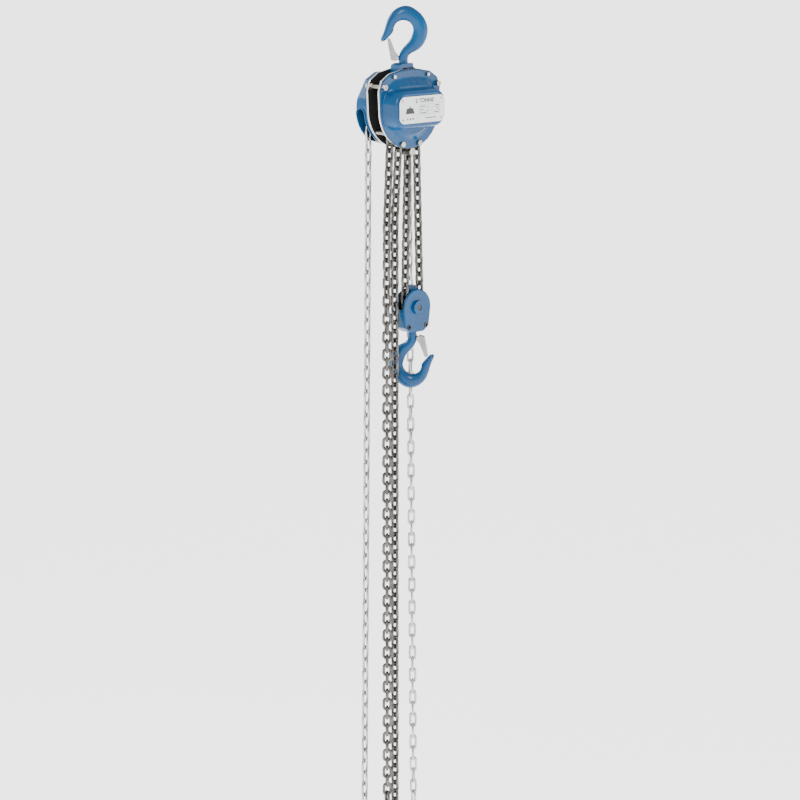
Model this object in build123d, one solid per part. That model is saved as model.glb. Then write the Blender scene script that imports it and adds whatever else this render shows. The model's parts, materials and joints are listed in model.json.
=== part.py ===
"""Two tonne, two fall manual chain hoist (chain block), in millimetres.

Frame: +Z up, origin at the centre of the top hook's bowl, where the hoist hangs from its beam pin.
The drive shaft runs along Y. The gear side with the rating plate faces -Y, the hand wheel is at +Y,
and the load chain's strands lie side by side along X.
"""
import os
from math import acos, asin, atan2, cos, degrees, pi, radians, sin, tan

from build123d import *

# Load chain: 6 x 18 mm short link chain.
LOAD_WIRE = 6.0
LOAD_PITCH = 18.0
LOAD_WIDTH = 20.4
# Hand chain: 5 x 24 mm welded chain.
HAND_WIRE = 5.0
HAND_PITCH = 24.0
HAND_WIDTH = 16.5
LINK_PLAY = 0.3

# Wheels that carry the chains: links in one full turn.
LOAD_LINKS_PER_TURN = 12
IDLER_LINKS_PER_TURN = 8
HAND_LINKS_PER_TURN = 14

# Head.
SHAFT_Z = -152.0
PLATE_IN = 14.5
PLATE_OUT = 18.5
PLATE_R = 78.0
PLATE_TOP = 77.0
FLANGE = 3.0
WALL = 2.5
COVER_DOME = 14.5
CASE_WIDTH = 140.0
CASE_HEIGHT = 80.0
CASE_FRONT = -54.0
CASE_UP = 2.0
WHEEL_Y = 42.5
WHEEL_COVER_BACK = 60.0
WHEEL_COVER_R = 74.0
TOP_PIN_Z = -91.0
TOP_PIN_R = 6.5
UPPER_STAY = (70.0, 46.0)
LOWER_STAY = (57.0, -44.0)
STAY_R = 4.5
COVER_SCREW = (22.0, -68.0)
TOP_SCREW = (44.0, 65.0)
PILLAR = (18.0, -62.0)
DOME_INSET = 14.0

# Gear train: two 8 to 32 stages on a 30 mm centre distance, doubled left and right of the shaft.
MODULE = 1.5
PINION_TEETH = 8
GEAR_TEETH = 32
PROFILE_SHIFT = 0.5
SHAFT_R = 7.0
CENTRES = MODULE * (PINION_TEETH + GEAR_TEETH) / 2

# Hooks: one forging, hung from the yoke at the top and from the block at the bottom.
BOWL_R = 19.0
SHANK_R = 8.8
HOOK_TURN = -42.0
LOWER_HOOK_TURN = -50.0
LATCH_PIVOT = (-13.0, -54.0)
YOKE_TOP = -64.0

# Hook block.
BLOCK_X = 24.0
BLOCK_R = 36.0
BLOCK_FACE = 16.0
BLOCK_HALF_GAP = 12.8
BLOCK_BASE = -50.0

# Strands of chain.
LIVE_STEPS = 22
DEAD_LINKS = 17
SLACK_PAIRS = 41
SLACK_LEAN_LINKS = 12
SLACK_SIDE_X = -43.8
SLACK_END_X = -22.9
HAND_FALL_LINKS = 61
HAND_LOOP_LINKS = 18
ANCHOR_BOLT_R = 4.0


def link_sizes(wire, pitch, width):
    """Half length and end radius of a link's wire centreline, and its two hinge distances."""
    half = (pitch + wire + LINK_PLAY) / 2
    end_r = (width - wire) / 2
    upright = half - end_r
    return half, end_r, upright, pitch - upright


def wrap_radii(wire, pitch, width, links_per_turn):
    """Distance from a wheel's axis to its flat links and to its upright links."""
    turn = 2 * pi / links_per_turn
    _, _, upright, flat = link_sizes(wire, pitch, width)
    return (upright + flat * cos(turn)) / sin(turn), (flat + upright * cos(turn)) / sin(turn)


LOAD_CHAIN = (LOAD_WIRE, LOAD_PITCH, LOAD_WIDTH)
HAND_CHAIN = (HAND_WIRE, HAND_PITCH, HAND_WIDTH)
LOAD_FLAT_R, LOAD_UPRIGHT_R = wrap_radii(*LOAD_CHAIN, LOAD_LINKS_PER_TURN)
IDLER_FLAT_R, IDLER_UPRIGHT_R = wrap_radii(*LOAD_CHAIN, IDLER_LINKS_PER_TURN)
HAND_FLAT_R, HAND_UPRIGHT_R = wrap_radii(*HAND_CHAIN, HAND_LINKS_PER_TURN)

# The block hangs as far down as its live fall's links reach; the dead fall then sets the anchor bolt.
STRAND_GAP = 2 * LOAD_FLAT_R / 3
FALL_LENGTH = (LIVE_STEPS - 1) * LOAD_PITCH
LIVE_SLANT = BLOCK_X + IDLER_FLAT_R - LOAD_FLAT_R
BLOCK_Z = SHAFT_Z - LOAD_PITCH - (FALL_LENGTH**2 - LIVE_SLANT**2) ** 0.5
DEAD_X = STRAND_GAP / 2
DEAD_SLANT = DEAD_X - (BLOCK_X - IDLER_FLAT_R)
DEAD_TOP = BLOCK_Z + LOAD_PITCH / 2 + ((DEAD_LINKS * LOAD_PITCH) ** 2 - DEAD_SLANT**2) ** 0.5
ANCHOR_Z = DEAD_TOP - 3.95
ANCHOR_PIN = (DEAD_X, ANCHOR_Z + 23)

# The slack loop's two strands lean out to the left of the block, then hang plumb; the pin follows from that.
SLACK_TOP = SHAFT_Z - LOAD_PITCH / 2
SLACK_LEAN = SLACK_LEAN_LINKS * LOAD_PITCH
SLACK_KNEE = SLACK_TOP - (SLACK_LEAN**2 - (SLACK_SIDE_X + LOAD_FLAT_R) ** 2) ** 0.5
END_LEAN = SLACK_LEAN - 2 * LOAD_PITCH
END_TOP = SLACK_KNEE + (END_LEAN**2 - (SLACK_END_X + DEAD_X) ** 2) ** 0.5
PIN_PART = 3.95 / END_LEAN
SLACK_PIN = (-DEAD_X + (SLACK_END_X + DEAD_X) * PIN_PART, END_TOP + (SLACK_KNEE - END_TOP) * PIN_PART)


# ---------------------------------------------------------------- small helpers
def y_slab(sketch, y_low, y_high):
    """Solid from a sketch drawn in X and Z, from y_low to y_high."""
    plane = Plane(origin=(0, y_high, 0), x_dir=(1, 0, 0), z_dir=(0, -1, 0))
    return extrude(plane * sketch, amount=y_high - y_low)


def y_rod(x, z, radius, y_low, y_high):
    return y_slab(Pos(x, z) * Circle(radius), y_low, y_high)


def y_hex(x, z, across_flats, y_low, y_high):
    return y_slab(Pos(x, z) * RegularPolygon(across_flats / 2, 6, major_radius=False), y_low, y_high)


def z_rod(x, y, radius, z_low, z_high):
    return Pos(x, y, (z_low + z_high) / 2) * Cylinder(radius, z_high - z_low)


def block(x_low, x_high, y_low, y_high, z_low, z_high):
    centre = ((x_low + x_high) / 2, (y_low + y_high) / 2, (z_low + z_high) / 2)
    return Pos(*centre) * Box(x_high - x_low, y_high - y_low, z_high - z_low)


def outline(points):
    return make_face(Polyline(*points, close=True))


def at_shaft(shape):
    return Pos(0, 0, SHAFT_Z) * shape


def save(name, shape):
    """Write one node, as one solid or as a group of separate solids."""
    solids = []
    for item in shape if isinstance(shape, list) else [shape]:
        solids.extend(item.solids())
    export_step(solids[0] if len(solids) == 1 else Compound(solids), f"parts/{name}.step")


# ---------------------------------------------------------------- hooks
# Stations along the forging, from the shank round the bowl to the tip, in the hook's own plane:
# inner point, outer point and half width across the plane.
HOOK_STATIONS = [
    ((-8.8, -62), (8.8, -62), 8.8),
    ((-8.9, -51), (10.0, -51), 9.0),
    ((-3.5, -38), (17.0, -44.5), 10.0),
    ((6.5, -26.5), (30.5, -37), 11.0),
    ((15.0, -13.5), (43.0, -21), 12.0),
    ((17.8, 0), (47.5, 0), 12.0),
    ((15.4, 8.9), (40.5, 23), 12.0),
    ((8.9, 15.4), (24, 40), 11.5),
    ((0, 17.8), (1, 47), 11.5),
    ((-8.9, 15.4), (-20, 37), 11.0),
    ((-15.4, 8.9), (-31, 20.5), 10.0),
    ((-18.0, 0), (-37, 1), 9.0),
    ((-23.0, -8), (-41, -9.5), 8.0),
    ((-30.0, -15.5), (-44, -17), 6.5),
    ((-35.0, -20.5), (-42.5, -22.5), 4.0),
]


def hook_forging(shank_end):
    """Hook with its bowl centred on the origin and its shank running down to z = shank_end."""
    sections = []
    for inner, outer, half_width in HOOK_STATIONS:
        run = Vector(outer[0] - inner[0], 0, outer[1] - inner[1])
        across = run.normalized()
        middle = ((inner[0] + outer[0]) / 2, 0, (inner[1] + outer[1]) / 2)
        plane = Plane(origin=middle, x_dir=across, z_dir=(-across.Z, 0, across.X))
        sections.append(plane * Ellipse(run.length / 2, half_width))
    forging = loft(sections)
    forging += z_rod(0, 0, SHANK_R, shank_end, -62)
    lug = y_slab(Pos(*LATCH_PIVOT) * Circle(4.2) + Pos(-8, -54) * Rectangle(10, 8), -4, 4)
    forging += lug
    forging -= y_rod(0, 0, BOWL_R, -20, 20)
    return forging - y_rod(*LATCH_PIVOT, 2.2, -20, 20)


def latch_plate():
    """Pressed channel: two legs that straddle the lug, joined by a web along the outer edge."""
    profile = outline([(-31.5, -18), (-24.5, -58), (-14, -60), (-9.8, -56),
                       (-10.2, -50), (-15.5, -43), (-26, -16.5)])
    legs = y_slab(profile, -6, 6) - y_slab(profile, -4.4, 4.4)
    web = y_slab(outline([(-31.5, -18), (-24.5, -58), (-22.9, -58), (-29.8, -17.6)]), -6, 6)
    return legs + web - y_rod(*LATCH_PIVOT, 2.2, -20, 20)


def latch_rivet():
    shank = y_rod(*LATCH_PIVOT, 2.1, -6.1, 6.1)
    heads = y_rod(*LATCH_PIVOT, 3.6, -7.4, -6.1) + y_rod(*LATCH_PIVOT, 3.6, 6.1, 7.4)
    return shank + heads


def latch_spring():
    """Leaf spring inside the channel, bearing on the lug and on the web."""
    return y_slab(outline([(-21.9, -54), (-18.6, -51), (-24.9, -30), (-25.9, -30.3), (-19.9, -50.6),
                           (-22.2, -52.8)]), -1.8, 1.8)


def hook_nut(z_low, z_high):
    """Shank nut, a thin hexagon that fills the shank's threaded end."""
    nut = Pos(0, 0, z_low) * extrude(RegularPolygon(11, 6, major_radius=False), z_high - z_low)
    return nut - z_rod(0, 0, SHANK_R + 0.02, z_low - 1, z_high + 1)


def thrust_washer(z_low, z_high):
    return z_rod(0, 0, 12.5, z_low, z_high) - z_rod(0, 0, SHANK_R + 0.15, z_low - 1, z_high + 1)


def make_top_hook():
    turn = Rot(0, 0, HOOK_TURN)
    save("top_hook", turn * hook_forging(-82.0))
    save("top_latch", turn * latch_plate())
    save("top_latch_rivet", turn * latch_rivet())
    save("top_latch_spring", turn * latch_spring())
    save("top_hook_nut", hook_nut(-82.0, -74.4))
    save("top_thrust_washer", thrust_washer(-74.3, -72.3))


def make_bottom_hook(block_z):
    bowl = Pos(BLOCK_X, 0, block_z - 118)
    turn = bowl * Rot(0, 0, LOWER_HOOK_TURN) * Rot(0, 180, 0)
    save("bottom_hook", turn * hook_forging(-85.5))
    save("bottom_latch", turn * latch_plate())
    save("bottom_latch_rivet", turn * latch_rivet())
    save("bottom_latch_spring", turn * latch_spring())
    save("bottom_hook_nut", bowl * hook_nut(77.4, 85.5))
    save("bottom_thrust_washer", bowl * thrust_washer(75.3, 77.3))


def make_top_yoke():
    """Cast yoke between the side plates, swivelling on the hook's shank and tilting on the top pin."""
    left = [(-12, YOKE_TOP), (-20, YOKE_TOP - 3), (-22, YOKE_TOP - 8), (-22, -84)]
    right = [(22, -84), (22, YOKE_TOP - 11), (15, YOKE_TOP - 8), (13, YOKE_TOP)]
    body = y_slab(outline(left + [(-11.5, -91), (11.5, -91)] + right), -13.5, 13.5)
    body += y_rod(0, TOP_PIN_Z, 11.5, -13.5, 13.5)
    body -= block(-13.4, 13.4, -20, 20, -82.6, -72.2)
    body -= z_rod(0, 0, SHANK_R + 0.3, -80, YOKE_TOP + 5)
    body -= y_rod(0, TOP_PIN_Z, TOP_PIN_R + 0.15, -20, 20)
    save("top_yoke", body)


# ---------------------------------------------------------------- head: plates and covers
def plate_outline(inset=0.0):
    """Side plate: round below, with broad shoulders that rise to the flat beside the yoke."""
    shoulders = outline([(-PLATE_R, 0), (-80, 38), (-73, 58), (-53, 71), (-22, PLATE_TOP),
                         (22, PLATE_TOP), (53, 71), (73, 58), (80, 38), (PLATE_R, 0)])
    whole = Circle(PLATE_R) + shoulders
    corners = [v for v in whole.vertices() if v.Y > 30]
    whole = fillet(corners, 9)
    return offset(whole, -inset) if inset else whole


def wheel_cover_outline(inset=0.0):
    """Hand wheel cover: round, with straight facets up to a narrower top."""
    low = 21
    reach = (WHEEL_COVER_R**2 - low**2) ** 0.5
    facets = outline([(-reach, low), (-50, 56), (-26, 69), (26, 69), (50, 56), (reach, low)])
    whole = Circle(WHEEL_COVER_R) - Pos(0, low + 50) * Rectangle(200, 100) + facets
    corners = [v for v in whole.vertices() if v.Y > 40]
    whole = fillet(corners, 10)
    return offset(whole, -inset) if inset else whole


def make_side_plates():
    stays = [(side * x, z) for side in (-1, 1) for x, z in (UPPER_STAY, LOWER_STAY)]
    for name, y_low in (("side_plate_front", -PLATE_OUT), ("side_plate_rear", PLATE_IN)):
        y_high = y_low + PLATE_OUT - PLATE_IN
        plate = at_shaft(y_slab(plate_outline(), y_low, y_high))
        holes = [at_shaft(y_rod(x, z, STAY_R - 1.4, y_low - 1, y_high + 1)) for x, z in stays]
        holes.append(y_rod(0, SHAFT_Z, 20, y_low - 1, y_high + 1))
        holes.append(y_rod(0, TOP_PIN_Z, TOP_PIN_R, y_low - 1, y_high + 1))
        holes += [y_rod(x, z, 3, y_low - 1, y_high + 1) for x, z in (SLACK_PIN, ANCHOR_PIN)]
        if y_low < 0:
            holes += [y_rod(side * CENTRES, SHAFT_Z, 5.1, y_low - 1, y_high + 1) for side in (-1, 1)]
        save(name, plate - holes)


def cover_body(inset):
    """Gear cover's outer shape, or its hollow when inset by the wall."""
    dome = Plane(origin=(0, -PLATE_OUT, 0), x_dir=(1, 0, 0), z_dir=(0, -1, 0))
    swell = extrude(dome * plate_outline(DOME_INSET + inset), COVER_DOME - inset, taper=38)
    size = (CASE_WIDTH - 2 * inset, CASE_HEIGHT - 2 * inset)
    case = y_slab(Pos(0, CASE_UP) * RectangleRounded(*size, 30 - inset), CASE_FRONT + inset, -PLATE_OUT)
    rim = case.faces().sort_by(Axis.Y)[0].edges()
    return swell + fillet(rim, 9 - inset)


def make_gear_cover():
    flange = y_slab(plate_outline(1), -PLATE_OUT - FLANGE, -PLATE_OUT)
    rim = flange.faces().sort_by(Axis.Y)[0].edges()
    cover = fillet(rim, 1.5) + cover_body(0) - cover_body(WALL)
    spots = [(side * x, z) for side in (-1, 1) for x, z in (UPPER_STAY, COVER_SCREW, TOP_SCREW)]
    holes = [y_rod(x, z, 3.2, -30, 0) for x, z in spots]
    seats = [y_rod(x, z, 7.2, -40, -PLATE_OUT - FLANGE) for x, z in spots]
    save("gear_cover", at_shaft(cover - holes - seats))


def make_wheel_cover():
    """Drum over the hand wheel, with a lipped slot low on each side where the hand chain runs out."""
    flange = y_slab(plate_outline(1), PLATE_OUT, PLATE_OUT + FLANGE)
    drum = y_slab(wheel_cover_outline(), PLATE_OUT, WHEEL_COVER_BACK)
    back = drum.faces().sort_by(Axis.Y)[-1].edges()
    drum = fillet(back, 7)
    hollow = y_slab(wheel_cover_outline(WALL), PLATE_OUT - 1, WHEEL_COVER_BACK - WALL)
    lips = y_slab(wheel_cover_outline(-1.8), 28, 56)
    cover = flange + drum
    slots = []
    for side in (-1, 1):
        reach = Plane(origin=(side * 26, WHEEL_Y, -33), x_dir=(0, 1, 0), z_dir=(side, 0, 0))
        slots.append(extrude(reach * RectangleRounded(22, 66, 10.5), 60))
        cover += extrude(reach * RectangleRounded(26, 70, 12.5), 60) & lips
    cover = cover - hollow - slots
    holes = [y_rod(side * x, z, 3.2, 0, 70) for side in (-1, 1) for x, z in (UPPER_STAY, PILLAR)]
    save("hand_wheel_cover", at_shaft(cover - holes))


def make_plate_fixings():
    """Stays that space the side plates, their nuts, and the screws that hold the covers' flanges."""
    stays = []
    nuts = []
    for side in (-1, 1):
        for (x, z), end in ((UPPER_STAY, 26.4), (LOWER_STAY, PLATE_OUT)):
            stay = y_rod(side * x, z, STAY_R, -PLATE_IN, PLATE_IN)
            stays.append(at_shaft(stay + y_rod(side * x, z, 3, -end, end)))
        x, z = UPPER_STAY
        for y in (-27.4, PLATE_OUT + FLANGE):
            nut = y_hex(side * x, z, 10, y, y + 5.9) - y_rod(side * x, z, 3.02, -40, 40)
            nuts.append(at_shaft(nut))
        collar = y_hex(side * x, z, 12, 8.5, PLATE_IN - 0.02)
        nuts.append(at_shaft(collar - y_rod(side * x, z, STAY_R + 0.02, 0, 20)))
    save("stay_bolts", stays)
    save("stay_nuts", nuts)
    screws = []
    pillars = []
    back = WHEEL_COVER_BACK
    seat = -PLATE_OUT - FLANGE
    for side in (-1, 1):
        for (x, z), flats in ((COVER_SCREW, 10), (TOP_SCREW, 7)):
            screw = y_hex(side * x, z, flats, seat - 4, seat) + y_rod(side * x, z, 3, seat, -PLATE_OUT - 0.1)
            screws.append(at_shaft(screw))
        x, z = PILLAR
        pillars.append(at_shaft(y_hex(side * x, z, 8, PLATE_OUT, back - WALL - 0.1)))
        screw = y_hex(side * x, z, 9, back, back + 3.5) + y_rod(side * x, z, 3, back - WALL, back)
        screws.append(at_shaft(screw))
    save("cover_screws", screws)
    save("cover_pillars", pillars)
    save("top_pin", y_rod(0, TOP_PIN_Z, TOP_PIN_R, -PLATE_OUT, PLATE_OUT))


def make_name_plate():
    """Rating plate on the gear case, held by four round-head rivets."""
    face = Pos(0, CASE_UP) * RectangleRounded(118, 52, 13)
    spots = [(side * 50, CASE_UP + rise * 19) for side in (-1, 1) for rise in (-1, 1)]
    plate = y_slab(face, CASE_FRONT - 1, CASE_FRONT) - [y_rod(*spot, 1.2, -60, -50) for spot in spots]
    save("name_plate", at_shaft(plate))
    rivets = [y_rod(*spot, 1.2, CASE_FRONT - 1, CASE_FRONT) + y_rod(*spot, 2.2, CASE_FRONT - 2, CASE_FRONT - 1)
              for spot in spots]
    save("name_plate_rivets", [at_shaft(rivet) for rivet in rivets])


def make_chain_fittings():
    """Guides beside the load sheave, the stripper under it, and both ends' anchorages."""
    guides = []
    for side in (-1, 1):
        arc = Circle(49.5) - Circle(47.5)
        window = Pos(side * 50, 12) * Rectangle(40, 58)
        guides.append(at_shaft(y_slab(arc & window, -PLATE_IN, PLATE_IN)))
    save("chain_guides", guides)
    claw = (Circle(29) - Circle(24.4)) & outline([(-22, -10), (22, -10), (16, -32), (-16, -32)])
    save("chain_stripper", at_shaft(y_slab(claw, -2.8, 2.8) + block(0, 6, -PLATE_IN, PLATE_IN, -43.5, -39.5)
                                    + block(-2.8, 2.8, -2.8, 2.8, -41, -27)))
    save("anchor_pins", [y_rod(*spot, 4, -PLATE_IN, PLATE_IN) + y_rod(*spot, 3, -PLATE_OUT, PLATE_OUT)
                         for spot in (SLACK_PIN, ANCHOR_PIN)])
    x, pin_z = ANCHOR_PIN
    cheek = y_slab(Pos(x, (pin_z + ANCHOR_Z) / 2) * SlotCenterToCenter(pin_z - ANCHOR_Z, 18, rotation=90), 7, 10)
    cheeks = cheek + mirror(cheek, Plane.XZ) + block(x - 7, x + 7, -8, 8, pin_z - 5, pin_z + 5)
    save("anchor_bracket", cheeks - y_rod(x, pin_z, 4.05, -20, 20)
         - y_rod(x, ANCHOR_Z, ANCHOR_BOLT_R + 0.05, -20, 20))
    save("anchor_bolt", y_rod(x, ANCHOR_Z, ANCHOR_BOLT_R, -10, 17) + y_hex(x, ANCHOR_Z, 13, -15.3, -10))
    save("anchor_nut", y_hex(x, ANCHOR_Z, 13, 10, 16.5) - y_rod(x, ANCHOR_Z, ANCHOR_BOLT_R + 0.02, 5, 20))


# ---------------------------------------------------------------- gear train
def gear_sketch(teeth, shift, addendum, turn=0.0):
    """Involute spur gear outline, 20 degrees, thinned a little for backlash."""
    angle = radians(20)
    pitch_r = MODULE * teeth / 2
    base_r = pitch_r * cos(angle)
    tip_r = pitch_r + MODULE * (addendum + shift)
    root_r = pitch_r - MODULE * (1.25 - shift)
    half = (pi / 2 + 2 * shift * tan(angle)) / teeth - 0.07 / pitch_r + tan(angle) - angle
    start_r = max(base_r, root_r)
    flank = []
    for step in range(5):
        r = start_r + (tip_r - start_r) * step / 4
        pressure = acos(base_r / r)
        flank.append((r, half - (tan(pressure) - pressure)))
    points = []
    for tooth in range(teeth):
        middle = radians(turn) + 2 * pi * tooth / teeth
        side = [(root_r, flank[0][1])] + flank if root_r < start_r else flank
        for r, a in side:
            points.append((r * cos(middle - a), r * sin(middle - a)))
        for r, a in reversed(side):
            points.append((r * cos(middle + a), r * sin(middle + a)))
    return outline(points)


def pocket_wheel(links_per_turn, flat_r, upright_r, half_width, rim_r, wire, width, pitch):
    """Pocket wheel: a middle groove for the upright links and pockets for the flat ones."""
    wheel = y_slab(Circle(rim_r), -half_width, half_width)
    groove_floor = upright_r - width / 2 - 0.6
    wheel -= y_slab(Circle(rim_r + 1) - Circle(groove_floor), -wire / 2 - 0.6, wire / 2 + 0.6)
    floor = flat_r - wire / 2 - 0.4
    length = pitch + 2 * wire + LINK_PLAY + 0.9
    for k in range(links_per_turn // 2):
        pocket = Pos((floor + rim_r + 5) / 2, 0, 0) * Box(rim_r + 5 - floor, width + 0.9, length)
        wheel -= Rot(0, 720 * k / links_per_turn, 0) * pocket
    return wheel


def make_drive_line():
    """Load sheave and gear, drive shaft with its pinion, disc gears and the bridge that carries them."""
    sheave = pocket_wheel(LOAD_LINKS_PER_TURN, LOAD_FLAT_R, LOAD_UPRIGHT_R, 12.2, 38, LOAD_WIRE, LOAD_WIDTH,
                          LOAD_PITCH)
    sheave += y_rod(0, 0, 14, -20.4, 20) + y_rod(0, 0, 12, -30, -20)
    save("load_sheave", at_shaft(sheave - y_rod(0, 0, SHAFT_R + 0.3, -40, 40)))
    mesh_turn = 180 / GEAR_TEETH
    load_gear = y_slab(gear_sketch(GEAR_TEETH, -PROFILE_SHIFT, 0.9, mesh_turn), -29.5, -21.5)
    save("load_gear", at_shaft(load_gear - y_rod(0, 0, 12.02, -40, 0)))
    pinion = gear_sketch(PINION_TEETH, PROFILE_SHIFT, 0.8)
    shaft = y_slab(Circle(SHAFT_R), -31, 56) + y_slab(pinion, -41, -31) + y_slab(Circle(4.8), -48, -41)
    save("drive_shaft", at_shaft(shaft))
    disc = y_slab(gear_sketch(GEAR_TEETH, -PROFILE_SHIFT, 0.9, mesh_turn), -39.5, -32.5)
    disc += y_slab(pinion, -32.5, -20.5) + y_slab(Circle(4.9), -47, -15)
    disc -= [y_rod(12 * cos(radians(a)), 12 * sin(radians(a)), 2.4, -50, -30) for a in (45, 135, 225, 315)]
    disc -= y_rod(0, 0, 2, -50, -10)
    for name, side in (("disc_gear_left", -1), ("disc_gear_right", 1)):
        save(name, at_shaft(Pos(side * CENTRES, 0, 0) * disc))
    bridge = y_slab(SlotOverall(130, 22), -46, -43.2)
    bridge -= [y_rod(x, 0, 5.1, -60, 0) for x in (-CENTRES, 0, CENTRES)]
    bridge += [y_rod(side * 59.5, 0, 3, -43.2, -PLATE_OUT) for side in (-1, 1)]
    save("gear_bridge", at_shaft(bridge))


def make_bearings():
    """Full-complement ball bearings that carry the sheave's journals in the side plates."""
    races = []
    balls = []
    count = 22
    for facing in (-1, 1):
        y = facing * (PLATE_IN + PLATE_OUT) / 2
        races.append(y_rod(0, 0, 19.98, y - 2, y + 2) - y_rod(0, 0, 17.9, y - 3, y + 3))
        for k in range(count):
            a = 2 * pi * k / count
            balls.append(Pos(16 * cos(a), y, 16 * sin(a)) * Sphere(1.7))
    save("sheave_bearings", [at_shaft(piece) for piece in races + balls])


# ---------------------------------------------------------------- brake and hand wheel
RATCHET_TEETH = 12
RATCHET_TIP = 30.0
RATCHET_ROOT = 26.0
PAWL_POST = (-38.5, 16.0)


def make_brake():
    """Screw brake: hub, ratchet disc between two friction discs, and the pawls on the rear plate."""
    save("brake_hub", at_shaft(y_slab(Circle(24), 20.6, 23.6) + y_slab(Circle(12), 23.6, 32)
                               - y_rod(0, 0, SHAFT_R + 0.03, 0, 60)))
    ring = Circle(23.5) - Circle(12.2)
    save("friction_discs", [at_shaft(y_slab(ring, 23.7, 25.7)), at_shaft(y_slab(ring, 30.1, 32.1))])
    points = []
    for tooth in range(RATCHET_TEETH):
        a = 2 * pi * tooth / RATCHET_TEETH
        points.append((RATCHET_ROOT * cos(a), RATCHET_ROOT * sin(a)))
        points.append((RATCHET_TIP * cos(a), RATCHET_TIP * sin(a)))
    disc = y_slab(outline(points) - Circle(12.3), 25.9, 29.9)
    save("ratchet_disc", at_shaft(disc))
    x, z = PAWL_POST
    profile = Pos(x, z) * Circle(4.5) + outline([(x - 4.5, z), (x + 4.5, z), (-29.6, 9.6), (-31.4, 6.0)])
    pawl = y_slab(profile, 26.1, 29.7) - y_rod(x, z, 2.6, 0, 60)
    post = y_rod(x, z, 2.5, PLATE_OUT, 31.5) + y_rod(x, z, 4, PLATE_OUT, 25.9)
    for name, turn in (("pawl_left", 0), ("pawl_right", 180)):
        save(name, at_shaft(Rot(0, turn, 0) * pawl))
    save("pawl_posts", [at_shaft(post), at_shaft(Rot(0, 180, 0) * post)])


def make_hand_wheel():
    """Pocket wheel for the hand chain, dished over the brake, with its castle nut and split pin."""
    wheel = Pos(0, WHEEL_Y, 0) * pocket_wheel(HAND_LINKS_PER_TURN, HAND_FLAT_R, HAND_UPRIGHT_R, 10, 57,
                                              HAND_WIRE, HAND_WIDTH, HAND_PITCH)
    wheel -= y_slab(Circle(36) - Circle(24), 30, 36) + y_slab(Circle(38) - Circle(13), 41, 60)
    wheel -= y_rod(0, 0, 14, 49, 60)
    wheel -= [y_rod(26 * cos(radians(a)), 26 * sin(radians(a)), 5, 30, 60) for a in range(0, 360, 60)]
    save("hand_wheel", at_shaft(wheel - y_rod(0, 0, SHAFT_R + 0.03, 0, 60)))
    nut = y_hex(0, 0, 19, 49.2, 55) - y_rod(0, 0, SHAFT_R + 0.03, 0, 60)
    nut -= [Rot(0, a, 0) * block(-20, 20, 52.4, 60, -1.6, 1.6) for a in (0, 60, 120)]
    save("castle_nut", at_shaft(nut))


# ---------------------------------------------------------------- hook block
def shell_half(facing):
    """One cast half of the hook block; the front half faces -Y."""
    reach = (BLOCK_R**2 - 6**2) ** 0.5
    skirt = outline([(-reach, -6), (-31, -40), (-17, BLOCK_BASE), (17, BLOCK_BASE), (31, -40), (reach, -6)])
    face = Circle(BLOCK_R) + skirt
    face = fillet([v for v in face.vertices() if v.Y < -30], 4)
    shell = y_slab(face, -BLOCK_FACE, 0)
    edge = shell.faces().sort_by(Axis.Y)[0].edges()
    shell = fillet(edge, 3)
    shell += y_rod(0, 0, 14, -22, -BLOCK_FACE) + block(-5, 5, -8, 0, 30, 43)
    shell -= y_slab(Circle(BLOCK_R - 1.6) & Pos(0, -2) * Rectangle(80, 59), -BLOCK_HALF_GAP, 1)
    shell -= block(-50, 50, -BLOCK_HALF_GAP, 1, -3, 29.9)
    shell -= block(-50, -5, -BLOCK_HALF_GAP, 1, 29, 50) + block(5, 50, -BLOCK_HALF_GAP, 1, 29, 50)
    shell -= z_rod(0, 0, 13.4, -43, -31) + z_rod(0, 0, SHANK_R + 0.3, -60, -31)
    shell -= y_rod(0, 0, 6.02, -30, 10)
    shell -= [y_rod(side * 22.5, -38, 3.02, -30, 10) for side in (-1, 1)]
    shell -= [y_rod(side * 22.5, -38, 5.4, -30, -11) for side in (-1, 1)]
    shell -= y_rod(0, 39.6, 1.6, -30, 10)
    return shell if facing < 0 else mirror(shell, Plane.XZ)


def make_block(block_z):
    place = Pos(BLOCK_X, 0, block_z)
    save("block_shell_front", place * shell_half(-1))
    save("block_shell_rear", place * shell_half(1))
    fasteners = []
    for side in (-1, 1):
        x = side * 22.5
        socket = y_slab(Pos(x, -38) * RegularPolygon(2.5, 6, major_radius=False), -17, -14)
        fasteners.append(place * (y_rod(x, -38, 3, -11, 15.5) + y_rod(x, -38, 5, -16.8, -11) - socket))
        fasteners.append(place * (y_hex(x, -38, 9, 11, 15.8) - y_rod(x, -38, 3.1, 0, 20)))
    save("block_bolts_and_nuts", fasteners)
    save("block_rivet", place * (y_rod(0, 39.6, 1.58, -8, 8) + y_rod(0, 39.6, 2.6, -9.2, -8)
                                 + y_rod(0, 39.6, 2.6, 8, 9.2)))
    axle = y_rod(0, 0, 6, -21, 21)
    save("idler_axle", place * axle)
    idler = pocket_wheel(IDLER_LINKS_PER_TURN, IDLER_FLAT_R, IDLER_UPRIGHT_R, 12.2, 25, LOAD_WIRE, LOAD_WIDTH,
                         LOAD_PITCH)
    save("idler_sheave", place * (idler - y_rod(0, 0, 6.06, -20, 20)))


# ---------------------------------------------------------------- chains
def link_solid(wire, pitch, width):
    """One link lying in the XY plane with its length along Y."""
    _, end_r, straight, _ = link_sizes(wire, pitch, width)
    ring = Torus(end_r, wire / 2)
    upper = ring & Pos(0, width, 0) * Box(3 * width, 2 * width, 2 * wire)
    lower = ring & Pos(0, -width, 0) * Box(3 * width, 2 * width, 2 * wire)
    leg = Rot(90, 0, 0) * Cylinder(wire / 2, 2 * straight)
    legs = Pos(end_r, 0, 0) * leg + Pos(-end_r, 0, 0) * leg
    return Pos(0, straight, 0) * upper + Pos(0, -straight, 0) * lower + legs


LINKS = {}


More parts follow.
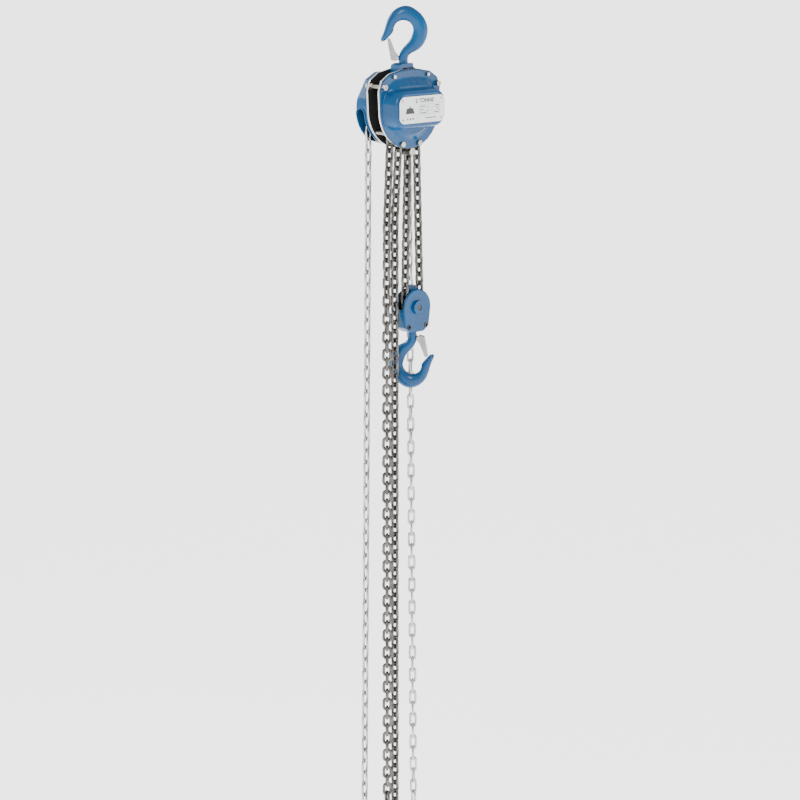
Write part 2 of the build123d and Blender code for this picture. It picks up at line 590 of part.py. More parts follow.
def placed_link(chain, x, y, z, heading, upright, twist=0.0):
    """Link centred at a point, running along a heading in the XZ plane, standing upright or lying flat."""
    if chain not in LINKS:
        LINKS[chain] = link_solid(*chain)
    along = Vector(cos(radians(heading)), 0, sin(radians(heading)))
    side = Vector(0, 1, 0)
    normal = side if upright else along.cross(side)
    normal = normal * cos(radians(twist)) + along.cross(normal) * sin(radians(twist))
    plane = Plane(origin=(x, y, z), x_dir=along.cross(normal), z_dir=normal)
    return LINKS[chain].moved(plane.location)


def wrap_links(chain, centre, y, flat_r, upright_r, links_per_turn, steps):
    """Links seated on a wheel: even steps are flat links, odd steps are upright ones."""
    links = []
    for step in steps:
        angle = 360 * step / links_per_turn
        r = upright_r if step % 2 else flat_r
        x = centre[0] + r * cos(radians(angle))
        z = centre[1] + r * sin(radians(angle))
        links.append(placed_link(chain, x, y, z, angle + 90, bool(step % 2)))
    return links


def straight_links(chain, start, end, y, count, first_upright, twist=lambda part: 0.0):
    """A straight run of links between two joints of the chain."""
    heading = degrees(atan2(end[1] - start[1], end[0] - start[0]))
    links = []
    for k in range(count):
        part = (k + 0.5) / count
        x = start[0] + (end[0] - start[0]) * part
        z = start[1] + (end[1] - start[1]) * part
        links.append(placed_link(chain, x, y, z, heading, first_upright == (k % 2 == 0), twist(part)))
    return links


def make_load_chain():
    """Load chain: over the load sheave, down the live fall, round the idler and up to the anchor bolt."""
    pitch = LOAD_PITCH
    wrap = wrap_links(LOAD_CHAIN, (0, SHAFT_Z), 0, LOAD_FLAT_R, LOAD_UPRIGHT_R, LOAD_LINKS_PER_TURN, range(0, 7))
    save("load_chain_on_sheave", wrap)
    idler = (BLOCK_X, BLOCK_Z)
    wrap = wrap_links(LOAD_CHAIN, idler, 0, IDLER_FLAT_R, IDLER_UPRIGHT_R, IDLER_LINKS_PER_TURN, range(-4, 1))
    save("load_chain_on_idler", wrap)
    top = (LOAD_FLAT_R, SHAFT_Z - pitch / 2)
    bottom = (BLOCK_X + IDLER_FLAT_R, BLOCK_Z + pitch / 2)
    save("load_chain_live_fall", straight_links(LOAD_CHAIN, top, bottom, 0, LIVE_STEPS - 1, True))
    bottom = (BLOCK_X - IDLER_FLAT_R, BLOCK_Z + pitch / 2)
    save("load_chain_dead_fall", straight_links(LOAD_CHAIN, bottom, (DEAD_X, DEAD_TOP), 0, DEAD_LINKS, True))

    # The slack side: both strands meet in one upright link at the bottom of the loop.
    _, _, upright, flat = link_sizes(*LOAD_CHAIN)
    plumb = 2 * SLACK_PAIRS - 1 - SLACK_LEAN_LINKS
    bottom_z = SLACK_KNEE - plumb * pitch
    knee = (SLACK_SIDE_X, SLACK_KNEE)

    def slow_turn(part):
        return 45 * sin(pi * min(part / 0.3, 1, (1 - part) / 0.12) / 2) ** 2

    side = straight_links(LOAD_CHAIN, (-LOAD_FLAT_R, SLACK_TOP), knee, 0, SLACK_LEAN_LINKS, True)
    side += straight_links(LOAD_CHAIN, knee, (SLACK_SIDE_X, bottom_z), 0, plumb, True, slow_turn)
    save("load_chain_slack_side", side)
    middle = (SLACK_SIDE_X + SLACK_END_X) / 2
    corner_z = bottom_z + pitch / 2 - upright
    lean = asin(((SLACK_END_X - SLACK_SIDE_X) / 2 - upright) / (2 * flat))
    loop_z = corner_z - 2 * flat * cos(lean)
    loop = [placed_link(LOAD_CHAIN, middle, 0, loop_z, 0, True)]
    for hand in (-1, 1):
        x = middle + hand * (upright + flat * sin(lean))
        z = corner_z - flat * cos(lean)
        loop.append(placed_link(LOAD_CHAIN, x, 0, z, 90 - hand * degrees(lean), False))
    knee = (SLACK_END_X, SLACK_KNEE)
    loop += straight_links(LOAD_CHAIN, (SLACK_END_X, bottom_z), knee, 0, plumb, True)
    loop += straight_links(LOAD_CHAIN, (-DEAD_X, END_TOP), knee, 0, SLACK_LEAN_LINKS - 2, True)
    save("load_chain_slack_end", loop)
    print("slack loop reaches", round(loop_z - LOAD_WIDTH / 2, 1))


def make_hand_chain():
    """Hand chain: an endless loop over the hand wheel, hanging in two strands that drift apart."""
    pitch = HAND_PITCH
    wrap = wrap_links(HAND_CHAIN, (0, SHAFT_Z), WHEEL_Y, HAND_FLAT_R, HAND_UPRIGHT_R, HAND_LINKS_PER_TURN,
                      range(0, 8))
    save("hand_chain_on_wheel", wrap)
    loop_flat_r, loop_upright_r = wrap_radii(*HAND_CHAIN, HAND_LOOP_LINKS)
    slant = (loop_flat_r + loop_upright_r - HAND_FLAT_R - HAND_UPRIGHT_R) / 2
    middle = HAND_FLAT_R + slant - loop_flat_r
    top_z = SHAFT_Z - pitch / 2
    low_z = top_z - ((HAND_FALL_LINKS * pitch) ** 2 - slant**2) ** 0.5
    loop = wrap_links(HAND_CHAIN, (middle, low_z - pitch / 2), WHEEL_Y, loop_flat_r, loop_upright_r,
                      HAND_LOOP_LINKS, range(-9, 1))

    def slow_turn(part):
        return 45 * sin(pi * min(part / 0.75, 1, (1 - part) / 0.1) / 2) ** 2

    right = straight_links(HAND_CHAIN, (HAND_FLAT_R, top_z), (HAND_FLAT_R + slant, low_z), WHEEL_Y,
                           HAND_FALL_LINKS, True, slow_turn)
    left = straight_links(HAND_CHAIN, (-HAND_UPRIGHT_R, top_z), (-HAND_UPRIGHT_R - slant, low_z), WHEEL_Y,
                          HAND_FALL_LINKS, False)
    save("hand_chain_right_strand", right + loop[5:])
    save("hand_chain_left_strand", left + loop[:5])
    print("hand chain links", len(wrap + right + left + loop), "loop reaches",
          round(low_z - pitch / 2 - loop_upright_r - HAND_WIDTH / 2, 1))


def main():
    os.makedirs("parts", exist_ok=True)
    make_top_hook()
    make_top_yoke()
    make_side_plates()
    make_gear_cover()
    make_wheel_cover()
    make_plate_fixings()
    make_name_plate()
    make_chain_fittings()
    make_drive_line()
    make_bearings()
    make_brake()
    make_hand_wheel()
    make_block(BLOCK_Z)
    make_bottom_hook(BLOCK_Z)
    make_load_chain()
    make_hand_chain()
    print("block axis at", round(BLOCK_Z, 2), "anchor bolt at", round(ANCHOR_Z, 2))


main()
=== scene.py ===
import bpy
import json
from math import cos, pi, radians, sin, sqrt

import bmesh
import numpy as np
from mathutils import Matrix, Vector
from mathutils.bvhtree import BVHTree

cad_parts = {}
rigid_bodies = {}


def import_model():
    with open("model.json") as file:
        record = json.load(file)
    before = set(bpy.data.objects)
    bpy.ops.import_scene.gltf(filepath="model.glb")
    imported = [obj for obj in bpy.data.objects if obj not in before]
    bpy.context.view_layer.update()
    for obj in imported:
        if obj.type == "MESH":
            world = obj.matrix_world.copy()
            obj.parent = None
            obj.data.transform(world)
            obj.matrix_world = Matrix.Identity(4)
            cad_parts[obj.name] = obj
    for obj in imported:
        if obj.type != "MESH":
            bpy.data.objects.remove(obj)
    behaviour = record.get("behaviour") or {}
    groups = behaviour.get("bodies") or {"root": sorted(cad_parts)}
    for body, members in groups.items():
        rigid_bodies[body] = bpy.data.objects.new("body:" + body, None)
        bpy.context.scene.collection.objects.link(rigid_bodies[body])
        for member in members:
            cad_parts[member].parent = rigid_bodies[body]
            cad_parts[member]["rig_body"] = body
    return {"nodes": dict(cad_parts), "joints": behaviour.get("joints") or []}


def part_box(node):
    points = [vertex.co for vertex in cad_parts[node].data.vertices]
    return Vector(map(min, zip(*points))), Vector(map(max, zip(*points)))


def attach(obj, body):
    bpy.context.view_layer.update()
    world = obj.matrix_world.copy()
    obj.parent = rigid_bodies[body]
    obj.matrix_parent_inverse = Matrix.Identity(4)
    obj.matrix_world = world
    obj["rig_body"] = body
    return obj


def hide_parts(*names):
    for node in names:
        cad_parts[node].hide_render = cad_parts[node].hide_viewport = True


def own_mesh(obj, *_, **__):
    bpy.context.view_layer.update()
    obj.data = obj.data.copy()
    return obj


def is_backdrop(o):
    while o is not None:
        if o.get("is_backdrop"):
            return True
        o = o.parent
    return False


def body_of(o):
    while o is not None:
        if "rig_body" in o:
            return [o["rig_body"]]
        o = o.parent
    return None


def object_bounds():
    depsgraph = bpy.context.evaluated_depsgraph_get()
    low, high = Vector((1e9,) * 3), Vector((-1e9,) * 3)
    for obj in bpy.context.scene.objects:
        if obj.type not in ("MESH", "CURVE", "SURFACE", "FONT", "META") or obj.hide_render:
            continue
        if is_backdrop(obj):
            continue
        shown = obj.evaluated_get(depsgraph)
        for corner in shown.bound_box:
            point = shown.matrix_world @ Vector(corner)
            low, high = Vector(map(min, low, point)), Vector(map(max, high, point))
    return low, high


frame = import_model()
nodes = frame["nodes"]
cad_low, cad_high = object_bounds()
scene = bpy.context.scene

# ------------------------------------------------------------------ stage
# The hoist is seen from its left front, with the camera a little above the head and a long lens. It hangs
# over a wide pale floor, which glows a little so that it stays bright in soft light.
AZIMUTH = radians(-42)
RISE = radians(6)
PITCH = radians(11.6)
DISTANCE = 5.85
SIDE_STEP = 0.0066
FLOOR_HALF = 90
FLOOR_BELOW = 0.45
load_low, load_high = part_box("load_sheave")
shaft = (Vector(load_low) + Vector(load_high)) / 2
back = Vector((sin(AZIMUTH) * cos(RISE), -cos(AZIMUTH) * cos(RISE), sin(RISE)))
right = Vector((cos(AZIMUTH), sin(AZIMUTH), 0))
camera = bpy.data.objects.new("camera", bpy.data.cameras.new("camera"))
camera.data.lens = 134
camera.data.sensor_width = 36
camera.data.clip_end = 200
camera.location = Vector((0, 0, shaft.z)) + back * DISTANCE - right * SIDE_STEP
camera.rotation_euler = (pi / 2 - PITCH, 0, AZIMUTH)
scene.collection.objects.link(camera)
scene.camera = camera

class Value:
    """A shader output; sums and products of these make Math nodes."""

    def __init__(self, build, socket):
        self.build = build
        self.socket = socket

    def math(self, operation, *others):
        inputs = {0: self, **dict(enumerate(others, 1))}
        return self.build.node("ShaderNodeMath", inputs, operation=operation)

    def __add__(self, other):
        return self.math("ADD", other)

    def __mul__(self, other):
        return self.math("MULTIPLY", other)


class Build:
    """One material under construction, with its Principled shader."""

    def __init__(self, name, **constants):
        self.material = bpy.data.materials.new(name)
        self.material.use_nodes = True
        self.tree = self.material.node_tree
        self.shader = self.tree.nodes["Principled BSDF"]
        for key, value in constants.items():
            self.shader.inputs[key.replace("_", " ")].default_value = value
        self.place = self.node("ShaderNodeTexCoord", {}, out="Object")

    def node(self, kind, inputs, out=0, **settings):
        node = self.tree.nodes.new(kind)
        for key, value in settings.items():
            setattr(node, key, value)
        for key, value in inputs.items():
            if isinstance(value, Value):
                self.tree.links.new(value.socket, node.inputs[key])
            else:
                node.inputs[key].default_value = value
        return Value(self, node.outputs[out])

    def noise(self, scale, detail=3.0, roughness=0.5):
        return self.node("ShaderNodeTexNoise", {"Vector": self.place, "Scale": scale, "Detail": detail,
                                                "Roughness": roughness}, out=0)

    def ramp(self, value, low, high, out_low, out_high):
        return self.node("ShaderNodeMapRange", {"Value": value, "From Min": low, "From Max": high,
                                                "To Min": out_low, "To Max": out_high})

    def colour(self, mix, first, second):
        return self.node("ShaderNodeMix", {0: mix, 6: first, 7: second}, out=2, data_type="RGBA")

    def bump(self, height, distance, strength=1.0):
        return self.node("ShaderNodeBump", {"Height": height, "Distance": distance, "Strength": strength})

    def feed(self, **links):
        for key, value in links.items():
            self.tree.links.new(value.socket, self.shader.inputs[key.replace("_", " ")])
        return self.material


floor_mesh = bpy.data.meshes.new("floor")
floor_z = cad_low[2] - FLOOR_BELOW
floor_corners = [(x * FLOOR_HALF, y * FLOOR_HALF, floor_z) for x, y in ((-1, -1), (1, -1), (1, 1), (-1, 1))]
floor_mesh.from_pydata(floor_corners, [], [(0, 1, 2, 3)])
floor = bpy.data.objects.new("floor", floor_mesh)
scene.collection.objects.link(floor)
floor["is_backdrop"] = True
pale = Build("studio_floor", Roughness=0.9, Emission_Color=(1, 1, 1, 1), Emission_Strength=2.2)
pale = pale.feed(Base_Color=pale.colour(pale.noise(2, 2), (0.93, 0.93, 0.93, 1), (0.96, 0.96, 0.96, 1)))
floor.data.materials.append(pale)

world = bpy.data.worlds.new("studio")
scene.world = world
world.use_nodes = True
world.node_tree.nodes["Background"].inputs["Color"].default_value = (1, 1, 1, 1)
world.node_tree.nodes["Background"].inputs["Strength"].default_value = 1.0


def softbox(name, place, aim, size, watts):
    """Large area light at a place, turned towards an aim point."""
    light = bpy.data.lights.new(name, "AREA")
    light.shape = "RECTANGLE"
    light.size, light.size_y = size
    light.energy = watts
    holder = bpy.data.objects.new(name, light)
    holder.location = place
    holder.rotation_euler = (Vector(aim) - Vector(place)).to_track_quat("-Z", "Y").to_euler()
    scene.collection.objects.link(holder)


softbox("key_light", (-2.2, -1.6, 1.5), (0, 0, -0.4), (0.7, 1.6), 55)
softbox("fill_light", (1.6, -2.4, -0.2), (0, 0, -0.7), (0.8, 2.2), 22)
softbox("rear_light", (-0.6, 2.4, 0.9), (0, 0, -0.5), (1.2, 1.2), 40)


# ------------------------------------------------------------------ hooks, latches and yoke
# Drop forgings under thick gloss enamel. Each hook has a pressed zinc latch on a rivet, held shut by a wire
# spring, and turns under its own nut and thrust washer.
# Gloss blue enamel over sheet or castings: slight mottling, orange peel, and a clear coat on top.
def enamel(name, grain, grain_depth):
    b = Build(name, Coat_Roughness=0.12, Specular_IOR_Level=0.22)
    cloud = b.noise(14, 4)
    speck = b.noise(420, 2)
    colour = b.colour(b.ramp(cloud, 0.35, 0.7, 0, 1), (0.0, 0.046, 0.135, 1), (0.0002, 0.066, 0.185, 1))
    rough = b.ramp(speck, 0.3, 0.7, 0.24, 0.36) + b.ramp(cloud, 0.3, 0.7, -0.03, 0.05)
    height = b.noise(260, 2) * 0.35 + b.noise(grain, 3) * 0.65
    coat = b.ramp(cloud, 0.3, 0.7, 0.22, 0.12)
    return b.feed(Base_Color=colour, Roughness=rough, Coat_Weight=coat, Normal=b.bump(height, grain_depth))


# Plated or bare metal: base tint, fine brushed or tumbled roughness and a few darker stains.
def metal(name, bright, dark, rough_low, rough_high, grain, depth, stain=0.5):
    b = Build(name, Metallic=1.0)
    cloud = b.noise(35, 5, 0.6)
    fine = b.noise(grain, 3)
    colour = b.colour(b.ramp(cloud, stain - 0.2, stain + 0.25, 0, 1), dark, bright)
    rough = b.ramp(fine, 0.3, 0.7, rough_low, rough_high)
    return b.feed(Base_Color=colour, Roughness=rough, Normal=b.bump(fine + cloud * 0.5, depth))


def carry(material, *names):
    """Gives nodes of the frame their finish."""
    for name in names:
        for material_slot in nodes[name].material_slots:
            material_slot.material = material


cast_paint = enamel("blue_enamel_on_forging", 150, 0.00035)
latch_steel = metal("latch_steel",
                    (0.34, 0.345, 0.34, 1), (0.2, 0.2, 0.195, 1), 0.28, 0.5, 420, 0.00006)
bright_zinc = metal("bright_zinc",
                    (0.42, 0.405, 0.36, 1), (0.24, 0.23, 0.2, 1), 0.2, 0.38, 500, 0.00004)
black_steel = metal("blackened_steel",
                    (0.085, 0.08, 0.075, 1), (0.03, 0.028, 0.026, 1), 0.35, 0.6, 300, 0.0001)
carry(cast_paint, "top_hook", "bottom_hook", "top_yoke")
carry(latch_steel, "top_latch", "bottom_latch")
carry(bright_zinc, "top_latch_rivet", "bottom_latch_rivet")
carry(black_steel, "top_latch_spring", "bottom_latch_spring", "top_hook_nut", "bottom_hook_nut",
      "top_thrust_washer", "bottom_thrust_washer", "top_pin")

# ------------------------------------------------------------------ side plates, stays and anchorages
# Two thick steel plates with a bare sheared edge, held apart by zinc-plated stays. Their faces are near
# black, painted shade for the deep gap between the plates. The guides, stripper and anchorages between them
# are blackened steel.
plate = Build("side_plate_steel_painted_shade")
normal = plate.node("ShaderNodeNewGeometry", {}, out="Normal")
facing = plate.node("ShaderNodeSeparateXYZ", {0: normal}, out=1)
edge = facing.math("ABSOLUTE").math("LESS_THAN", 0.7)
shear = plate.ramp(plate.noise(300, 3), 0.35, 0.65, 0, 1)
# Faces along Y get a near-black painted shade; where the normal turns away from Y the bare sheared edge
# shows.
bare = plate.colour(shear, (0.55, 0.55, 0.53, 1), (0.8, 0.8, 0.78, 1))
plate_with_painted_shade = plate.feed(Base_Color=plate.colour(edge, (0.012, 0.012, 0.013, 1), bare), Metallic=edge,
                        Roughness=plate.ramp(plate.noise(200, 3), 0.3, 0.7, 0.3, 0.5))
carry(plate_with_painted_shade, "side_plate_front", "side_plate_rear")
carry(bright_zinc, "stay_bolts", "stay_nuts", "cover_pillars", "cover_screws", "anchor_bolt", "anchor_nut")
carry(black_steel, "anchor_bracket", "anchor_pins", "chain_guides", "chain_stripper")

# ------------------------------------------------------------------ gear train, brake and wheels
# Gears, shaft and brake are machined and ground; the pocket wheels and pawls are cast or forged, then
# blackened. The friction discs are pressed lining.
ground_steel = metal("ground_steel",
                     (0.62, 0.62, 0.6, 1), (0.4, 0.39, 0.37, 1), 0.2, 0.38, 700, 0.00004)
carry(ground_steel, "drive_shaft", "load_gear", "disc_gear_left", "disc_gear_right", "ratchet_disc",
      "brake_hub", "castle_nut", "sheave_bearings")
carry(black_steel, "load_sheave", "hand_wheel", "pawl_left", "pawl_right", "pawl_posts", "gear_bridge")
lining = Build("friction_lining", Roughness=0.85)
fibre = lining.noise(500, 4)
lining = lining.feed(Base_Color=lining.colour(fibre, (0.1, 0.07, 0.045, 1), (0.32, 0.24, 0.16, 1)))
carry(lining, "friction_discs")

# ------------------------------------------------------------------ hook block
# Two cast shells in the same enamel as the hooks, bolted together over a blackened idler and its axle.
carry(cast_paint, "block_shell_front", "block_shell_rear")
carry(black_steel, "block_bolts_and_nuts", "block_rivet", "idler_axle", "idler_sheave")

# ------------------------------------------------------------------ chains
# Real chains are loose welded links. Each strand is a set of points, one for each link of the frame's chain,
# with the link's own turn, and Geometry Nodes sets a racetrack-shaped link on every point.
def link_turns(node):
    """Centre and rotation of every link in a chain node: long axis Y, across X, thin axis Z."""
    mesh = node.data
    points = np.array([v.co[:] for v in mesh.vertices])
    owner = list(range(len(points)))

    def root(k):
        while owner[k] != k:
            owner[k] = owner[owner[k]]
            k = owner[k]
        return k

    merged = {}
    for index, point in enumerate(np.round(points, 7)):
        twin = merged.setdefault(tuple(point), index)
        owner[root(index)] = root(twin)
    for edge in mesh.edges:
        owner[root(edge.vertices[0])] = root(edge.vertices[1])
    groups = {}
    for index in range(len(points)):
        groups.setdefault(root(index), []).append(index)
    turns = []
    for members in groups.values():
        cloud = points[members]
        low, high = cloud.min(axis=0), cloud.max(axis=0)
        centre = (low + high) / 2
        _, axes = np.linalg.eigh(np.cov((cloud - centre).T))
        thin, across, along = Vector(axes[:, 0]), Vector(axes[:, 1]), Vector(axes[:, 2])
        thin = across.cross(along)
        turns.append((Vector(centre), Matrix((across, along, thin)).transposed().to_euler()))
    return turns


def link_tree():
    """Node tree that puts one link on each point, from the wire's size and the link's length and width."""
    tree = bpy.data.node_groups.new("chain_links", "GeometryNodeTree")
    face = tree.interface
    face.new_socket("Points", in_out="INPUT", socket_type="NodeSocketGeometry")
    for label in ("Wire", "Length", "Width"):
        face.new_socket(label, in_out="INPUT", socket_type="NodeSocketFloat")
    face.new_socket("Material", in_out="INPUT", socket_type="NodeSocketMaterial")
    face.new_socket("Links", in_out="OUTPUT", socket_type="NodeSocketGeometry")

    def add(kind, settings=None, **inputs):
        node = tree.nodes.new(kind)
        for key, value in (settings or {}).items():
            setattr(node, key, value)
        for key, value in inputs.items():
            socket = node.inputs[key.replace("_", " ")] if key[0] != "i" else node.inputs[int(key[1:])]
            if isinstance(value, bpy.types.NodeSocket):
                tree.links.new(value, socket)
            else:
                socket.default_value = value
        return node.outputs

    given = tree.nodes.new("NodeGroupInput").outputs
    wire_r = add("ShaderNodeMath", {"operation": "MULTIPLY"}, i0=given["Wire"], i1=0.5)[0]
    end_d = add("ShaderNodeMath", {"operation": "SUBTRACT"}, i0=given["Width"], i1=given["Wire"])[0]
    end_r = add("ShaderNodeMath", {"operation": "MULTIPLY"}, i0=end_d, i1=0.5)[0]
    spare = add("ShaderNodeMath", {"operation": "SUBTRACT"}, i0=given["Length"], i1=given["Width"])[0]
    half = add("ShaderNodeMath", {"operation": "MULTIPLY"}, i0=spare, i1=0.5)[0]
    ring = add("GeometryNodeCurvePrimitiveCircle", {"mode": "RADIUS"}, Resolution=14, Radius=end_r)[0]
    spot = add("ShaderNodeSeparateXYZ", i0=add("GeometryNodeInputPosition")[0])
    way = add("ShaderNodeMath", {"operation": "SIGN"}, i0=spot[1])[0]
    shift = add("ShaderNodeMath", {"operation": "MULTIPLY"}, i0=way, i1=half)[0]
    push = add("ShaderNodeCombineXYZ", i1=shift)[0]
    track = add("GeometryNodeSetPosition", Geometry=ring, Offset=push)[0]
    section = add("GeometryNodeCurvePrimitiveCircle", {"mode": "RADIUS"}, Resolution=8, Radius=wire_r)[0]
    link = add("GeometryNodeCurveToMesh", Curve=track, Profile_Curve=section)[0]
    smooth = add("GeometryNodeSetShadeSmooth", i0=link)[0]
    turn = add("GeometryNodeInputNamedAttribute", {"data_type": "FLOAT_VECTOR"}, Name="turn")[0]
    rotation = add("FunctionNodeEulerToRotation", i0=turn)[0]
    placed = add("GeometryNodeInstanceOnPoints", Points=given["Points"], Instance=smooth,
                 Rotation=rotation)[0]
    solid = add("GeometryNodeRealizeInstances", i0=placed)[0]
    painted = add("GeometryNodeSetMaterial", Geometry=solid, Material=given["Material"])[0]
    tree.links.new(painted, tree.nodes.new("NodeGroupOutput").inputs[0])
    return tree


def plain_mesh(source, name):
    """The evaluated shape of an object with modifiers, as a plain mesh object."""
    bpy.context.view_layer.update()
    shape = source.evaluated_get(bpy.context.evaluated_depsgraph_get())
    result = bpy.data.objects.new(name, bpy.data.meshes.new_from_object(shape))
    bpy.data.objects.remove(source)
    scene.collection.objects.link(result)
    return result


chain_black = metal("load_chain_steel",
                    (0.19, 0.185, 0.175, 1), (0.06, 0.055, 0.05, 1), 0.25, 0.5, 350, 0.0001)
chain_zinc = metal("hand_chain_zinc",
                   (0.62, 0.62, 0.6, 1), (0.34, 0.34, 0.32, 1), 0.16, 0.32, 350, 0.00005)
chain_tree = link_tree()
LOAD_LINK = (0.006, 0.0303, 0.0204)
HAND_LINK = (0.005, 0.0343, 0.0165)


def chain_strand(node_name, piece, sizes, material):
    """Replaces one chain node of the frame with links placed by the node tree."""
    turns = link_turns(nodes[node_name])
    mesh = bpy.data.meshes.new(piece)
    mesh.from_pydata([spot for spot, _ in turns], [], [])
    attribute = mesh.attributes.new("turn", "FLOAT_VECTOR", "POINT")
    for item, (_, turn) in zip(attribute.data, turns):
        item.vector = turn[:]
    carrier = bpy.data.objects.new(piece + "_points", mesh)
    scene.collection.objects.link(carrier)
    modifier = carrier.modifiers.new("links", "NODES")
    modifier.node_group = chain_tree
    values = dict(zip(("Wire", "Length", "Width"), sizes))
    values["Material"] = material
    for item in chain_tree.interface.items_tree:
        if item.in_out == "INPUT" and item.name in values:
            modifier[item.identifier] = values[item.name]
    strand = plain_mesh(carrier, piece)
    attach(strand, body_of(nodes[node_name])[0])
    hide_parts(node_name)
    return strand


strands = {}
for node_name in sorted(nodes):
    if node_name.startswith("load_chain"):
        strands[node_name] = chain_strand(node_name, node_name + "_links", LOAD_LINK, chain_black)
    elif node_name.startswith("hand_chain"):
        strands[node_name] = chain_strand(node_name, node_name + "_links", HAND_LINK, chain_zinc)

# Each of the two falls gets its own copy of its mesh. The block's lift and the share of each fall to keep are
# worked out and passed along, but nothing uses them.
lift = next(joint for joint in frame["joints"] if joint["name"] == "block_lift")["range_m"][1]
for fall in ("load_chain_live_fall", "load_chain_dead_fall"):
    low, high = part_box(fall)
    length = high[2] - low[2]
    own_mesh(strands[fall], "block_lift", axis=(0, 0, 1), anchor=(0, 0, high[2]),
              keep=(length - lift) / length)

# ------------------------------------------------------------------ gear cover
# One deep-drawn steel pressing: a flat flange round the plate's edge, a soft dome, and the gear case that
# stands out of it with a generous radius all round. The wheel cover behind has the same enamel.
sheet_paint = enamel("blue_enamel_on_sheet", 90, 0.00012)
carry(sheet_paint, "hand_wheel_cover")
low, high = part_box("gear_cover")
plate_y = high[1]
depth = plate_y - low[1]
flange_y = plate_y - 0.0015
SHEET = 0.0025
RAY_START = 0.2
cover_tree = BVHTree.FromPolygons([v.co for v in nodes["gear_cover"].data.vertices],
                                  [p.vertices for p in nodes["gear_cover"].data.polygons])


def smooth_step(value, start, end):
    part = min(max((value - start) / (end - start), 0), 1)
    return part * part * (3 - 2 * part)


def cover_reach(angle):
    """Distance from the shaft to the flange's edge in one direction."""
    way = Vector((cos(angle), 0, sin(angle)))
    start = Vector((0, flange_y, shaft.z)) + way * RAY_START
    return RAY_START - cover_tree.ray_cast(start, -way)[3]


def cover_height(x, z, inside):
    """Height of the pressing over the side plate at a point; inside is the distance in from the edge."""
    flange = 0.003 * smooth_step(inside, -0.0006, 0.0012)
    dome = 0.0115 * smooth_step(inside, 0.0135, 0.032)
    side_x = abs(x) - 0.04
    side_z = abs(z - 0.002) - 0.010
    corner = sqrt(max(side_x, 0) ** 2 + max(side_z, 0) ** 2) + min(max(side_x, side_z), 0) - 0.030
    wall = smooth_step(-corner, -0.0035, 0.0055)
    crown = 1 - 0.16 * (1 - smooth_step(-corner, 0.002, 0.010))
    case = depth * wall * crown
    low_part = flange + dome
    blend = 0.003
    return low_part + (case - low_part + sqrt((case - low_part) ** 2 + blend**2) - blend) / 2


def cover_shell(name, spokes=288, rings=96):
    """Closed shell from two polar grids, the outer face and the inner face, joined at the flange's edge."""
    shell = bmesh.new()
    faces = {}
    for layer in ("outer", "inner"):
        grid = []
        for spoke in range(spokes):
            angle = 2 * pi * spoke / spokes
            reach = cover_reach(angle)
            row = []
            for ring in range(1, rings + 1):
                r = reach * (ring / rings) ** 0.9
                x, z = r * cos(angle), r * sin(angle)
                inside = reach - r
                height = cover_height(x, z, inside)
                if layer == "inner":
                    height = max(height - SHEET, 0) * smooth_step(inside, 0.009, 0.014)
                row.append(shell.verts.new((x, plate_y - height, shaft.z + z)))
            grid.append(row)
        height = cover_height(0, 0, 0.07) - (SHEET if layer == "inner" else 0)
        faces[layer] = (grid, shell.verts.new((0, plate_y - height, shaft.z)))
    for layer, (grid, middle) in faces.items():
        for spoke in range(spokes):
            here, there = grid[spoke], grid[(spoke + 1) % spokes]
            quads = [(here[0], there[0], middle)]
            quads += [(here[k], here[k + 1], there[k + 1], there[k]) for k in range(rings - 1)]
            for quad in quads:
                shell.faces.new(quad if layer == "outer" else tuple(reversed(quad)))
    outer, inner = faces["outer"][0], faces["inner"][0]
    for spoke in range(spokes):
        following = (spoke + 1) % spokes
        shell.faces.new((outer[spoke][-1], inner[spoke][-1], inner[following][-1], outer[following][-1]))
    bmesh.ops.recalc_face_normals(shell, faces=shell.faces)
    mesh = bpy.data.meshes.new(name)
    shell.to_mesh(mesh)
    shell.free()
    mesh.shade_smooth()
    piece = bpy.data.objects.new(name, mesh)
    scene.collection.objects.link(piece)
    return piece


gear_cover = cover_shell("gear_cover_pressing")
gear_cover.data.materials.append(sheet_paint)
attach(gear_cover, "head")
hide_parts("gear_cover")


# ------------------------------------------------------------------ rating plate printing
# A thin metal plate on four rivets, screen-printed with the capacity, a weight pictogram and a ruled table
# that has short strokes in place of its small print.
label_metal = metal("rating_plate_metal",
                    (0.62, 0.63, 0.64, 1), (0.52, 0.53, 0.54, 1), 0.36, 0.5, 800, 0.00002)
carry(label_metal, "name_plate")
carry(bright_zinc, "name_plate_rivets")
ink = Build("printing_ink", Roughness=0.55)
ink = ink.feed(Base_Color=ink.colour(ink.noise(900, 2), (0.008, 0.008, 0.009, 1), (0.03, 0.03, 0.032, 1)))
label_low, label_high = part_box("name_plate")
label_y = label_low[1]
label_z = (label_low[2] + label_high[2]) / 2


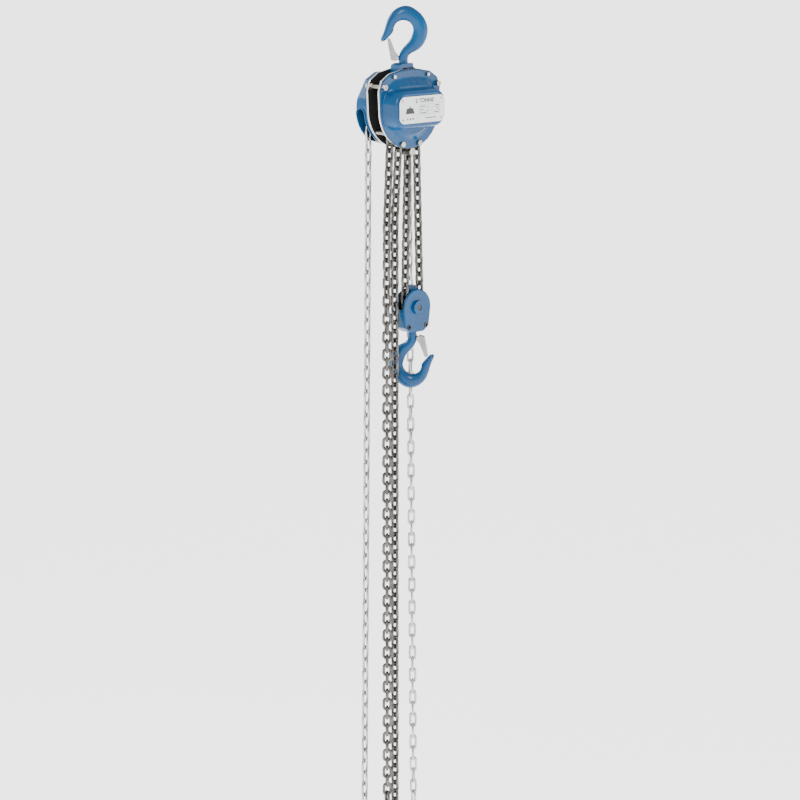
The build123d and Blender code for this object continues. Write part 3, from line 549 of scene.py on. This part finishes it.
def printed(name, outlines):
    """Thin raised ink shapes on the rating plate, from outlines in millimetres about the plate's centre."""
    ink_mesh = bmesh.new()
    for points in outlines:
        front = [ink_mesh.verts.new((x / 1000, label_y - 0.00012, label_z + z / 1000)) for x, z in points]
        rear = [ink_mesh.verts.new((v.co.x, label_y + 0.00002, v.co.z)) for v in front]
        ink_mesh.faces.new(front)
        ink_mesh.faces.new(rear[::-1])
        for k in range(len(points)):
            after = (k + 1) % len(points)
            ink_mesh.faces.new((front[after], front[k], rear[k], rear[after]))
    bmesh.ops.recalc_face_normals(ink_mesh, faces=ink_mesh.faces)
    mesh = bpy.data.meshes.new(name)
    ink_mesh.to_mesh(mesh)
    ink_mesh.free()
    mesh.materials.append(ink)
    piece = bpy.data.objects.new(name, mesh)
    scene.collection.objects.link(piece)
    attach(piece, "head")
    return piece


def bar(x_low, x_high, z_low, z_high):
    return [(x_low, z_low), (x_high, z_low), (x_high, z_high), (x_low, z_high)]


table = []
for z in (9.5, 3.0, -3.5, -10.0):
    table.append(bar(-8, 46, z - 0.2, z + 0.2))
for x in (-8, 14, 46):
    table.append(bar(x - 0.2, x + 0.2, -9.8, 9.3))
for row, width in enumerate((13, 8, 16)):
    z = 5.2 - 6.5 * row
    table.append(bar(-5.5, -5.5 + width, z, z + 1.7))
    table.append(bar(43 - width * 0.7, 43, z, z + 1.7))
table += [bar(-40 + 7 * k, -36.5 + 7 * k, -19, -15.5) for k in range(3)]
table.append(bar(8, 36, -18, -16.4))
printed("rating_table", table)
weight = [(-44, -7), (-20, -7), (-24, 4), (-29.5, 4), (-29.5, 5.5), (-34.5, 5.5), (-34.5, 4), (-40, 4)]
printed("weight_pictogram", [weight, bar(-33, -31, 6.3, 9)])

lettering = bpy.data.curves.new("capacity", "FONT")
lettering.body = "2 TONNE"
lettering.size = 0.0112
lettering.extrude = 0.00006
lettering.offset = 0.00035
lettering.align_x = "CENTER"
capacity = bpy.data.objects.new("capacity_text", lettering)
scene.collection.objects.link(capacity)
capacity = plain_mesh(capacity, "capacity_marking")
text_place = Matrix.Translation((0.006, label_y - 0.00006, label_z + 0.0135))
capacity.data.transform(text_place @ Matrix.Rotation(pi / 2, 4, "X"))
capacity.data.materials.clear()
capacity.data.materials.append(ink)
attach(capacity, "head")

low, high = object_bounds()
